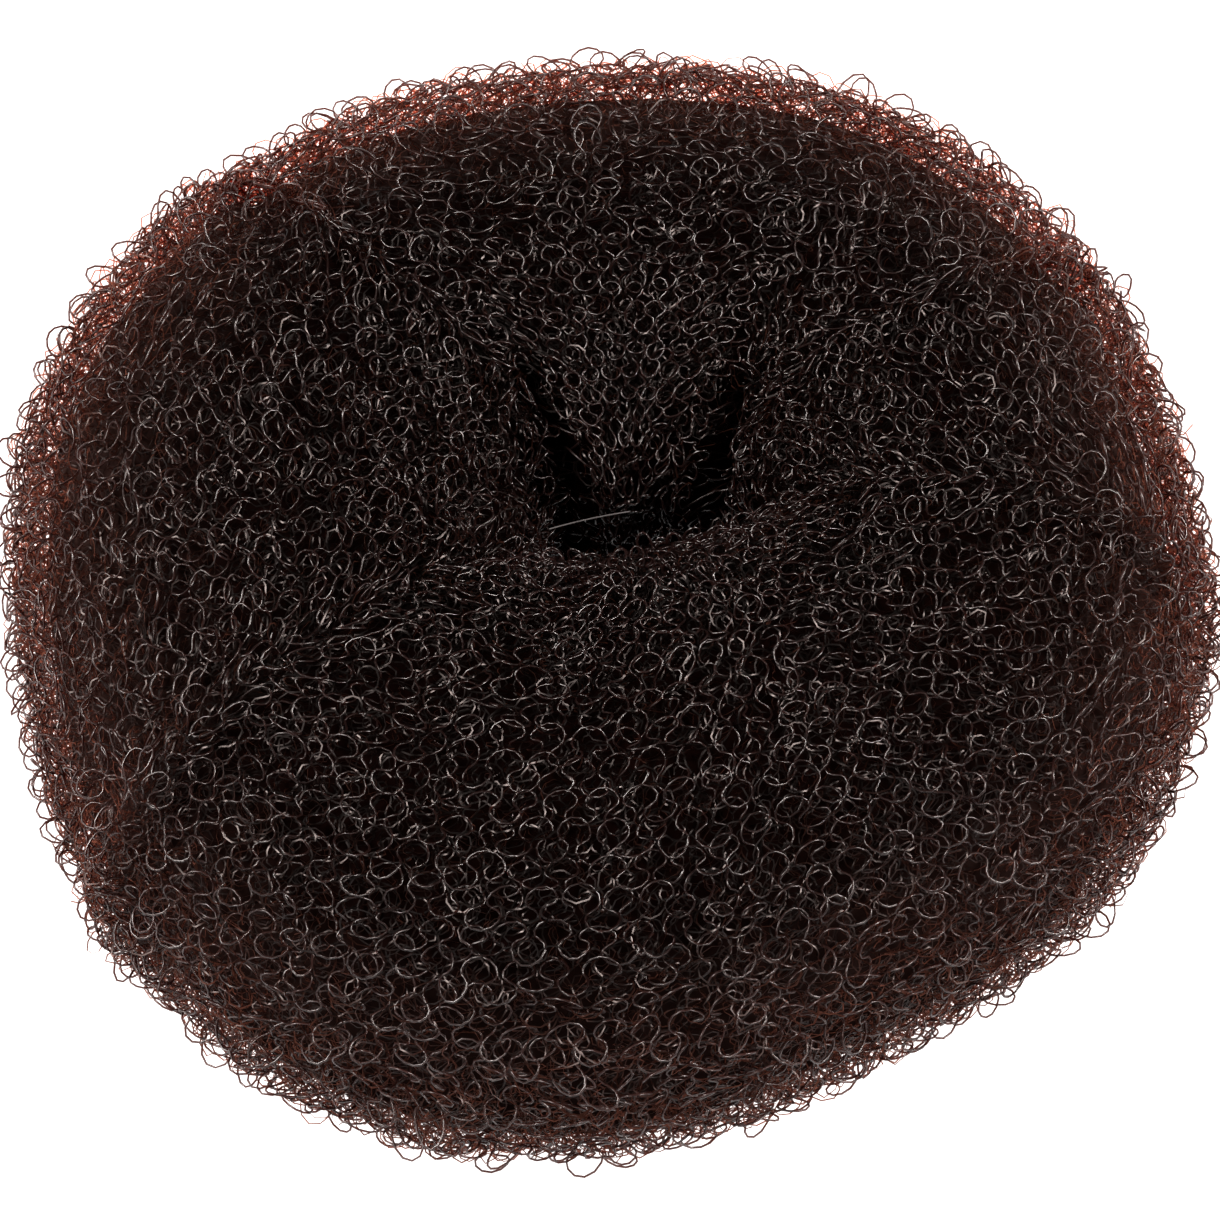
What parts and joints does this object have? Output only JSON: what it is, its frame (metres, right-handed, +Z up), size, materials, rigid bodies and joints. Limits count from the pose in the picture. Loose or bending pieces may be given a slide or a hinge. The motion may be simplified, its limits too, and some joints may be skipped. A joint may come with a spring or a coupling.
{
  "type": "hair donut bun maker",
  "caption": "Soft ring of knitted nylon net rolled up on itself, with a gathered hole in the middle that a ponytail is drawn through to shape and fill out a bun.",
  "frame": {"origin": "under the middle of the ring's outline, on the surface that the ring rests on", "axes": "+Z up through the hole, +X to the right and +Y to the back of the ring as it was pictured"},
  "size_m": [0.0904, 0.089, 0.04],
  "materials": {
    "net": "open knit of glossy dark brown nylon filament"
  },
  "bodies": {
    "root": {"rolled_net": "net"}
  },
  "joints": []
}
